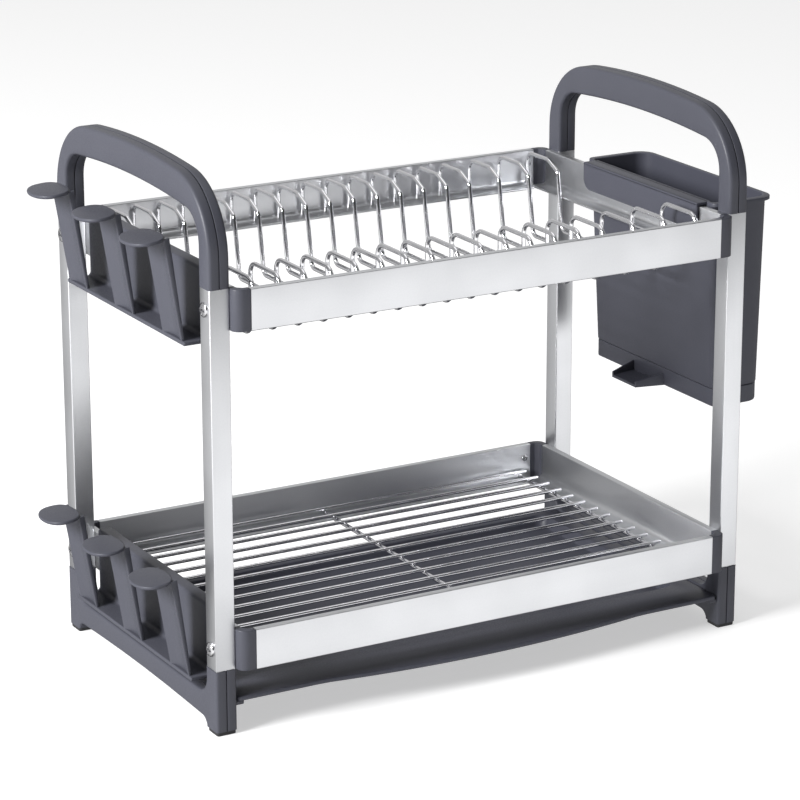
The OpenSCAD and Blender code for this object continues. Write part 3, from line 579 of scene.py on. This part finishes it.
outwardTurn = np.array([[0, 0, 1], [1, 0, 0], [0, 1, 0]])   # the head's axis to +X
inwardTurn = np.array([[1, 0, 0], [0, 0, -1], [0, 1, 0]])   # the head's axis to -Y
fourWays = list(corners.values())
for tier in ("upper", "lower"):
    node = f"{tier}_post_screws"
    s, size, (lo, hi) = screwSettings, screwSettings["post"], reachOf(node)
    seat = [hi[0] - size["height"], hi[1] - size["radius"], (lo[2] + hi[2]) / 2]
    head = moveShape(panHead(s, size), seat, outwardTurn)
    heads = [flipShape(head, *ways) for ways in fourWays]
    addPiece(camelName(node), node, "frame", screwSteel, heads)
s, size, (lo, hi) = screwSettings, screwSettings["small"], reachOf("corner_screws")
railTop = {tier: reachOf(f"{tier}_rear_rail") for tier in ("upper", "lower")}
heads = []
for tier, (railLo, railHi) in railTop.items():
    z = hi[2] - size["radius"] - railTop["upper"][0][2] + railLo[2]
    seat = [hi[0] - size["radius"], railHi[1] - railSettings["thick"], z]
    head = moveShape(panHead(s, size), seat, inwardTurn)
    heads += [flipShape(head, *ways) for ways in fourWays]
addPiece("cornerScrews", "corner_screws", "frame", screwSteel, heads)
print("screws made")

# Plate rack: bent wires on two tie rods

plateWireSettings = {
    "diameter": 3.2, "wideSlots": 3, "narrowSlots": 14, "narrowPitch": 20.05,
    # corners from the rear foot to the front foot: Y, height above the low run's middle, and bend radius
    "corners": [(121.8, 26.3, 0), (121.8, 51.9, 7.5), (91.5, 51.9, 10), (77.5, 45.2, 5), (71.3, 10.2, 9),
                (70, 0, 9), (-66.5, 0, 9), (-66.5, 51.9, 8), (-105.5, 51.9, 8), (-121.8, 33.2, 6),
                (-121.8, 26.3, 0)],
    "endBack": 10, "bendShare": 0.48, "bendSteps": 7, "sides": 12}


def plateWirePlaces(s, lo, hi):
    right, left = hi[0] - s["diameter"] / 2, lo[0] + s["diameter"] / 2
    firstNarrow = left + s["narrowSlots"] * s["narrowPitch"]
    wide = np.linspace(right, firstNarrow, s["wideSlots"] + 1)[:-1]
    return np.concatenate([wide, firstNarrow - s["narrowPitch"] * np.arange(s["narrowSlots"] + 1)])


def plateWire(s, x, low):
    # a tube along the corners, where a bend may use no more than its share of the straights beside it
    places, wanted = np.split(np.array(s["corners"]), [2], 1)
    straight = np.linalg.norm(np.diff(places, axis=0), axis=1)
    back = np.concatenate([[s["endBack"]], np.minimum(straight[:-1], straight[1:]) * s["bendShare"],
                           [s["endBack"]]])
    toLast, toNext = unit(np.roll(places, 1, 0) - places), unit(np.roll(places, -1, 0) - places)
    half = np.arccos(np.clip((toLast * toNext).sum(1), -1, 1)) / 2
    path = roundCorners(places, np.minimum(wanted[:, 0], back * np.tan(half)), s["bendSteps"], closed=False)
    points = np.column_stack([np.full(len(path), x), path[:, 0], path[:, 1] + low])
    return tubeShape(points, s["diameter"] / 2, (1, 0, 0), s["sides"])


s, (lo, hi) = plateWireSettings, reachOf("plate_wires")
wires = [plateWire(s, x, lo[2] + s["diameter"] / 2) for x in plateWirePlaces(s, lo, hi)]
addPiece("plateWires", "plate_wires", "plate_rack", chromeWire, wires)

straightSettings = {"tieRod": {"places": (-22, 49), "diameter": 4.0},
                    "gridWire": {"count": 15, "diameter": 3.0}, "gridBar": {"count": 3, "diameter": 3.5}}


def straightRods(node, places, diameter, along):
    lo, hi = reachOf(node)
    z = (lo[2] + hi[2]) / 2
    if along == "x":
        ends = [([lo[0], y, z], [hi[0], y, z]) for y in places]
    else:
        ends = [([x, lo[1], z], [x, hi[1], z]) for x in places]
    return [tubeShape(e, diameter / 2, (0, 0, 1), 16) for e in ends]


s = straightSettings["tieRod"]
addPiece("plateTieRods", "plate_tie_rods", "plate_rack", chromeWire,
         straightRods("plate_tie_rods", s["places"], s["diameter"], "x"))
print("plate rack made")

# Lower grid: long wires welded on cross bars

s, (lo, hi) = straightSettings["gridWire"], reachOf("grid_wires")
places = np.linspace(lo[1] + s["diameter"] / 2, hi[1] - s["diameter"] / 2, s["count"])
addPiece("gridWires", "grid_wires", "lower_grid", chromeWire,
         straightRods("grid_wires", places, s["diameter"], "x"))
s, (lo, hi) = straightSettings["gridBar"], reachOf("grid_bars")
places = np.linspace(lo[0] + s["diameter"] / 2, hi[0] - s["diameter"] / 2, s["count"])
addPiece("gridBars", "grid_bars", "lower_grid", chromeWire,
         straightRods("grid_bars", places, s["diameter"], "y"))
print("lower grid made")

# Drip tray: a level rim with a skirt, a bowed front and a shallow pan

traySettings = {"bow": 10.5, "bowHalf": 132.0, "skirt": 3.0, "wall": 2.0, "corner": 3.0, "edge": 1.0,
                "panX": 186.0, "panY": (-89.25, 98.75), "panDepth": 9.0, "panCorner": 10.0, "draft": 3.0,
                "leastRadii": (0.5, 2.0),
                # inset and depth below the rim round the pan's mouth
                "mouth": [(-0.8, 0), (-0.2, 0.25), (0.1, 0.9)],
                # share of the draft and height above the pan's bottom round the pan's foot
                "foot": [(0.6, 2.0), (0.8, 0.7)], "footReach": 1.2, "underBevel": (0.5, 1.5)}


def ovalRing(lo, hi, radii, along=(40, 6)):
    # a rectangle with round corners, with the same count of points on each side whatever its size
    a = np.linspace(0, np.pi / 2, 9)[:, None]
    signs = [(1, -1, -np.pi / 2), (1, 1, 0), (-1, 1, np.pi / 2), (-1, -1, np.pi)]
    radii = np.broadcast_to(radii, 4)
    arcs = []
    for (sx, sy, start), r in zip(signs, radii):
        centre = [hi[0] - r if sx > 0 else lo[0] + r, hi[1] - r if sy > 0 else lo[1] + r]
        arcs.append(centre + r * np.hstack([np.cos(a + start), np.sin(a + start)]))
    ring = []
    for n, arc in enumerate(arcs):
        t = np.linspace(0, 1, along[(n + 1) % 2] + 1)[1:-1, None]
        ring += [arc, arc[-1] * (1 - t) + arcs[(n + 1) % 4][0] * t]
    return np.concatenate(ring)


def atHeight(ring, z):
    return np.column_stack([ring, np.full(len(ring), z)])


def trayShape(s, lo, hi):
    rim, w, e = hi[2], s["wall"], s["edge"]
    front = lo[1] + s["bow"]

    def edgeRing(inset, z):
        # the bow pushes the front edge out by b (1 - (x / h)^2)
        ring = ovalRing([lo[0] + inset, front + inset], [hi[0] - inset, hi[1] - inset],
                        max(s["corner"] - inset, s["leastRadii"][0]))
        push = s["bow"] * np.clip(1 - (ring[:, 0] / s["bowHalf"]) ** 2, 0, None)
        ring[:, 1] -= np.where(ring[:, 1] < front + inset + 0.01, push, 0)
        return atHeight(ring, z)

    def panRing(inset, z):
        ring = ovalRing([-s["panX"] + inset, s["panY"][0] + inset], [s["panX"] - inset, s["panY"][1] - inset],
                        max(s["panCorner"] - inset, s["leastRadii"][1]))
        return atHeight(ring, z)

    bottom = rim - s["panDepth"]
    underInset, underRise = s["underBevel"]
    return loftShape([
        panRing(s["draft"], bottom - w), panRing(underInset, bottom - w + underRise), panRing(-w, rim - w),
        edgeRing(w, rim - w), edgeRing(w, rim - s["skirt"]), edgeRing(0, rim - s["skirt"]),
        edgeRing(0, rim - e), edgeRing(e * 0.3, rim - e * 0.3), edgeRing(e, rim),
        *[panRing(inset, rim - drop) for inset, drop in s["mouth"]],
        *[panRing(s["draft"] * share, bottom + up) for share, up in s["foot"]],
        panRing(s["draft"] + s["footReach"], bottom)])


s, (lo, hi) = traySettings, reachOf("drip_tray")
addPiece("dripTray", "drip_tray", "drip_tray", trayPlastic, [trayShape(s, lo, hi)])
print("drip tray made")

# Cup holders: a trough that hooks over the side rail, with three arms that end in paddles

holderSettings = {
    "wallIn": 202.9, "wall": 2.7, "floorEdge": 223.5, "floor": 3.0, "fillet": 3.0, "drop": 44.5, "top": 50.8,
    "bridgeGap": 0.6, "hook": (194.2, 196.6), "hookDrop": 13.0, "endRound": 0.8, "lipRound": 0.8,
    "bridgeRound": (2.2, 2.5), "hookRound": 0.9, "seatRound": 0.6,
    "armPitch": 77.0, "armWidth": 30.0, "armFoot": 0.2, "web": 2.2, "sag": 3.4, "sideWall": 2.0,
    "sideDepth": (2.8, 5.2), "lean": 9.5, "armRound": 0.7,   # side walls: depth at the foot and at the paddle
    "paddleAt": (245.5, 74.0), "paddleThick": 2.8, "tilt": 6.0, "paddleRound": (0.95, 0.75),
    "paddle": (12.8, 14.2, 18.6), "fullness": (0.95, 0.72)}   # outwards, inwards, and half along the rail


def holderSection(s):
    # across the rail: the trough's floor, its wall, the bridge over the rail and the hook behind it
    wallOut, under = s["wallIn"] + s["wall"], s["drop"] + s["bridgeGap"]
    points = [[s["floorEdge"], 0], [s["floorEdge"], s["floor"]], [wallOut, s["floor"]], [wallOut, s["top"]],
              [s["hook"][0], s["top"]], [s["hook"][0], s["top"] - s["hookDrop"]],
              [s["hook"][1], s["top"] - s["hookDrop"]], [s["hook"][1], under], [s["wallIn"], under],
              [s["wallIn"], 0]]
    lip, hook, seat, fillet = s["lipRound"], s["hookRound"], s["seatRound"], s["fillet"]
    return roundCorners(points, [lip, lip, fillet, *s["bridgeRound"], hook, hook, seat, seat, fillet], 5)


def armSection(s, depth):
    # in plan, from the arm's outer face: a web that sags inwards by g (1 - (2y / width)^2), with a wall
    # at each side
    half, inner = s["armWidth"] / 2, s["armWidth"] / 2 - s["sideWall"]
    v = np.linspace(-1, 1, 15)[:, None]
    outer = np.hstack([-s["sag"] * (1 - v ** 2), v * half])
    inside = np.hstack([-s["sag"] * (1 - v ** 2) - s["web"], v * inner])[::-1]
    points = np.concatenate([outer, [[-depth, half], [-depth, inner]], inside,
                             [[-depth, -inner], [-depth, -half]]])
    radii = np.zeros(len(points))
    last = len(outer) - 1
    radii[[0, last, last + 1, last + 2, -2, -1]] = s["armRound"]
    return roundCorners(points, radii, 3)


def armShape(s):
    # rings up the leaning arm; the last lies in the tilted plane of the paddle
    tilt, slope = np.tan(np.radians(s["tilt"])), np.tan(np.radians(s["lean"]))
    rings = []
    for t in np.linspace(0, 1, 9):
        section = armSection(s, s["sideDepth"][0] + (s["sideDepth"][1] - s["sideDepth"][0]) * t)
        x = s["floorEdge"] + slope * s["paddleAt"][1] * t + section[:, 0]
        top = s["paddleAt"][1] - (x - s["paddleAt"][0]) * tilt
        rings.append(np.column_stack([x, section[:, 1], s["armFoot"] + (top - s["armFoot"]) * t]))
    return loftShape(rings)


def paddleShape(s):
    # an oval whose sine and cosine are raised to the fullness: short and nearly round outwards, and
    # squarer over the arm; the small offset keeps the angles off the axes, where the powers are flat
    a = np.arange(72) * np.pi / 36 + 0.01
    outer, inner, half = s["paddle"]
    power = np.where(np.cos(a) < 0, s["fullness"][1], s["fullness"][0])
    across, along = (np.sign(c) * np.abs(c) ** power for c in (np.cos(a), np.sin(a)))
    outline = np.column_stack([np.where(across < 0, inner, outer) * across, half * along])
    half = s["paddleThick"] / 2
    flat = slabShape(outline, -half, half, *[half * k for k in s["paddleRound"]], "z", steps=5)
    c, n = np.cos(np.radians(s["tilt"])), np.sin(np.radians(s["tilt"]))
    return moveShape(flat, [s["paddleAt"][0], 0, s["paddleAt"][1]], [[c, 0, n], [0, 1, 0], [-n, 0, c]])


for tier in ("upper", "lower"):
    s, node = holderSettings, f"{tier}_cup_holder"
    lo, hi = reachOf(node)
    shapes = [slabShape(holderSection(s), lo[1], hi[1], s["endRound"], s["endRound"], "y", steps=3)]
    for place in (-s["armPitch"], 0, s["armPitch"]):
        shapes += [moveShape(armShape(s), [0, place, 0]), moveShape(paddleShape(s), [0, place, 0])]
    shapes = [moveShape(shape, [0, 0, lo[2]]) for shape in shapes]
    addPiece(camelName(node), node, f"{tier}_holder", handlePlastic, shapes, True)
print("cup holders made")

# Utensil caddy: a tapered box with a rim and a hook plate, and a drain base under it

caddySettings = {
    "middleY": -16.75, "seam": 179.5, "top": 323.5, "rim": 2.6, "wall": 2.0, "socket": 6.0, "floor": 2.0,
    "topX": (203.5, 257.0), "topLength": 166.0, "bottomX": (210.8, 254.8), "bottomLength": 163.0,
    "rimX": (203.5, 258.5), "rimLength": 173.6, "radii": (13.0, 13.0, 6.0, 6.0), "levels": 12, "edge": 0.6,
    "hookX": (194.1, 196.5), "hookLength": 153.0, "hookDrop": 21.0, "hookRadius": 9.0, "hookRound": 0.8,
    "slots": 11, "slotPitch": 12.0, "slotSize": (24.0, 4.0), "slotStart": 10.0, "floorRound": 0.3,
    "plateRound": 1.2, "bridgeRound": 0.8, "bridgeInto": 3.0}


def caddyRing(s, t, inset, z, rim=False):
    # the plan at a share t of the way from the seam to the top, shrunk all round by the inset
    x0, x1 = np.array(s["bottomX"]) * (1 - t) + np.array(s["topX"]) * t
    length = s["bottomLength"] * (1 - t) + s["topLength"] * t
    if rim:
        (x0, x1), length = s["rimX"], s["rimLength"]
    lo = [x0 + inset, s["middleY"] - length / 2 + inset]
    hi = [x1 - inset, s["middleY"] + length / 2 - inset]
    return atHeight(ovalRing(lo, hi, np.array(s["radii"]) - inset, (4, 6)), z)


def caddyShapes(s):
    e, wall, height = s["edge"], s["wall"], s["top"] - s["seam"]
    t = np.linspace(0, 1, s["levels"])
    outer = [caddyRing(s, k, 0, s["seam"] + e + (height - s["rim"] - e) * k) for k in t]
    inner = [caddyRing(s, k, wall, s["seam"] + e + (height - 2 * e) * k) for k in t[::-1]]
    rim = [caddyRing(s, 1, 0, s["top"] - s["rim"], True), caddyRing(s, 1, 0, s["top"] - e, True),
           caddyRing(s, 1, e * 0.3, s["top"] - e * 0.3, True), caddyRing(s, 1, e, s["top"], True),
           caddyRing(s, 1, wall - e, s["top"])]
    foot = [caddyRing(s, 0, wall, s["seam"]), caddyRing(s, 0, e, s["seam"])]
    shapes = [loftShape(outer + rim + inner + foot, closed=True)]
    # floor: two margins and the bars between the drain slots
    floorLo, floorHi = s["seam"] + s["socket"], s["seam"] + s["socket"] + s["floor"]
    half = s["bottomLength"] / 2 - wall / 2
    x0, x1 = s["bottomX"][0] + wall / 2, s["bottomX"][1] - wall / 2
    a, b = s["bottomX"][0] + s["slotStart"], s["bottomX"][0] + s["slotStart"] + s["slotSize"][0]
    y = s["middleY"]
    radii = np.array(s["radii"]) - wall / 2
    margins = [rectangle([x0, y - half], [a, y + half], [radii[2], 0, 0, radii[3]]),
               rectangle([b, y - half], [x1, y + half], [0, radii[0], radii[1], 0])]
    shapes += [slabShape(m, floorLo, floorHi, 0, s["floorRound"], "z") for m in margins]
    slotAt = y + (np.arange(s["slots"]) - (s["slots"] - 1) / 2) * s["slotPitch"]
    starts = np.concatenate([[y - half], slotAt + s["slotSize"][1] / 2])
    ends = np.concatenate([slotAt - s["slotSize"][1] / 2, [y + half]])
    shapes += [slabShape(rectangle([a, p], [b, q]), floorLo, floorHi, 0, s["floorRound"], "z")
               for p, q in zip(starts, ends)]
    # hook: a plate inside the rail and a bridge over it
    x0, x1, reach, low = *s["hookX"], s["hookLength"] / 2, s["top"] - s["hookDrop"]
    plate = rectangle([y - reach, low], [y + reach, s["top"]],
                      [s["hookRadius"], s["hookRadius"], s["plateRound"], s["plateRound"]], 8)
    bridge = rectangle([x0, s["top"] - (x1 - x0)], [s["topX"][0] + s["bridgeInto"], s["top"]],
                       [s["bridgeRound"], 0, 0, s["plateRound"]])
    shapes.append(slabShape(plate, x0, x1, s["hookRound"], s["hookRound"], "x"))
    shapes.append(slabShape(bridge, y - reach, y + reach, s["bridgeRound"], s["bridgeRound"], "y"))
    return shapes


drainSettings = {"bottom": 165.5, "top": 179.2, "step": 0.4, "collar": 4.0, "recess": 2.2, "wall": 2.0,
                 "floor": 2.0, "edge": 1.2, "topBevel": (0.4, 0.5), "collarBevel": 0.4, "spoutY": -9.75,
                 "spoutX": (211.2, 189.2), "spoutHalf": (21.5, 16.5), "spoutHigh": (9.4, 4.6),
                 "spoutInto": 0.05, "spoutWall": 1.8, "spoutRound": 0.5}


def drainShapes(s, c):
    # rings of the caddy's plan, by inset and height: up the outside, in to the collar, over it and down inside
    outside, collar, soft = s["step"], s["step"] + s["recess"], s["collarBevel"]
    inside, top, collarTop = collar + s["wall"], s["top"], s["top"] + s["collar"]
    across, down = s["topBevel"]
    levels = [(outside + i, s["bottom"] + up) for i, up in zip(*quarterRound(s["edge"], 4))]
    levels += [(outside, top - down), (outside + across, top), (collar, top), (collar, collarTop - soft),
               (collar + soft, collarTop), (inside, collarTop), (inside, s["bottom"] + s["floor"])]
    shapes = [loftShape([caddyRing(c, 0, inset, z) for inset, z in levels])]
    # spout: a channel whose half width and height fall evenly from the base to the tip
    spout, w = [], s["spoutWall"]
    for t in np.linspace(-s["spoutInto"], 1, 7):
        x = s["spoutX"][0] * (1 - t) + s["spoutX"][1] * t
        half, high = (s[k][0] * (1 - t) + s[k][1] * t for k in ("spoutHalf", "spoutHigh"))
        section = roundCorners([[-half, 0], [half, 0], [half, high], [half - w, high], [half - w, s["floor"]],
                                [w - half, s["floor"]], [w - half, high], [-half, high]],
                               s["spoutRound"], 3)
        spout.append(np.column_stack([np.full(len(section), x), section + [s["spoutY"], s["bottom"]]]))
    return shapes + [loftShape(spout)]


addPiece("utensilCaddy", "utensil_caddy", "caddy", trayPlastic, caddyShapes(caddySettings))
addPiece("caddyDrainBase", "caddy_drain_base", "caddy_base", trayPlastic,
         drainShapes(drainSettings, caddySettings))
print("caddy made")

# Floor and light

stageSettings = {"floorSize": 30.0, "floorColour": "#d2d2d2", "floorGlow": 0.5, "floorRough": 0.9,
                 "key": {"at": (-2.9, -0.35, 1.5), "size": 1.3, "power": 185, "aim": (0, 0, 0.18)},
                 "top": {"at": (0.3, 0.2, 2.8), "size": 2.4, "power": 10, "aim": (0, 0, 0.1)}}
# The studio's light below and above the rack's level, and its shades: towards where, the cosines at which the
# shade begins and is full, and the share of light it takes away (below zero, the share it adds).
studioSettings = {
    "light": (1.5, 0.5), "blend": (-0.04, 0.10),
    "above": [((0.25, -0.95, 0.1), 0.0, 0.8, 0.9), ((0.47, 0.83, 0.3), 0.78, 0.95, -0.3)],
    "below": [((0.49, 0.87, 0), -0.25, 0.35, 0.60), ((0.49, 0.87, -0.3), 0.60, 0.80, 0.6),
              ((0, 0, -1), 0.5, 0.9, 0.95)]}

floorMesh = bpy.data.meshes.new("floor")
half = stageSettings["floorSize"] / 2
floorCorners = [(-half, -half, 0), (half, -half, 0), (half, half, 0), (-half, half, 0)]
floorMesh.from_pydata(floorCorners, [], [(0, 1, 2, 3)])
floor = bpy.data.objects.new("floor", floorMesh)
bpy.context.scene.collection.objects.link(floor)
floorFinish, tree = newFinish("paleFloor")
shader = addNode(tree, "ShaderNodeBsdfPrincipled", {}, {
    "Base Color": hexColour(stageSettings["floorColour"]), "Roughness": stageSettings["floorRough"],
    "Specular IOR Level": 0.0, "Emission Color": (1, 1, 1, 1),
    "Emission Strength": stageSettings["floorGlow"]})
addNode(tree, "ShaderNodeOutputMaterial", {}, {"Surface": shader.outputs["BSDF"]})
floorMesh.materials.append(floorFinish)
floor.visible_glossy = False   # metals reflect the studio's lower half instead

for name in ("key", "top"):
    s = stageSettings[name]
    light = bpy.data.lights.new(name + "Light", "AREA")
    light.shape, light.size, light.energy = "DISK", s["size"], s["power"]
    lamp = bpy.data.objects.new(name + "Light", light)
    lamp.location = s["at"]
    lamp.rotation_euler = (Vector(s["aim"]) - Vector(s["at"])).to_track_quat("-Z", "Y").to_euler()
    bpy.context.scene.collection.objects.link(lamp)

world = bpy.data.worlds.new("studio")
bpy.context.scene.world = world
world.use_nodes = True
tree = world.node_tree
tree.nodes.clear()
direction = addNode(tree, "ShaderNodeTexCoord").outputs["Generated"]


def studioLevel(light, shades):
    # the light times, for each shade, 1 - take x a smooth step from the shade's edge to where it is full
    level = light
    for towards, edge, full, take in shades:
        facing = addNode(tree, "ShaderNodeVectorMath", {"operation": "DOT_PRODUCT"},
                         {0: direction, 1: tuple(unit(np.array(towards)))})
        left = addNode(tree, "ShaderNodeMapRange", {"interpolation_type": "SMOOTHSTEP"}, {
            "Value": facing.outputs["Value"], "From Min": edge, "From Max": full,
            "To Min": 1.0, "To Max": 1.0 - take})
        level = addNode(tree, "ShaderNodeMath", {"operation": "MULTIPLY"},
                        {0: level, 1: left.outputs["Result"]}).outputs["Value"]
    return level


height = addNode(tree, "ShaderNodeSeparateXYZ", {}, {"Vector": direction}).outputs["Z"]
rise = addNode(tree, "ShaderNodeMapRange", {"interpolation_type": "SMOOTHSTEP"}, {
    "Value": height, "From Min": studioSettings["blend"][0], "From Max": studioSettings["blend"][1]})
level = addNode(tree, "ShaderNodeMix", {"data_type": "FLOAT"}, {
    "Factor": rise.outputs["Result"], "A": studioLevel(studioSettings["light"][0], studioSettings["below"]),
    "B": studioLevel(studioSettings["light"][1], studioSettings["above"])})
background = addNode(tree, "ShaderNodeBackground", {}, {
    "Color": (1, 1, 1, 1), "Strength": level.outputs["Result"]})
addNode(tree, "ShaderNodeOutputWorld", {}, {"Surface": background.outputs["Background"]})
bpy.context.scene.view_settings.view_transform = "Standard"
print("stage lit")
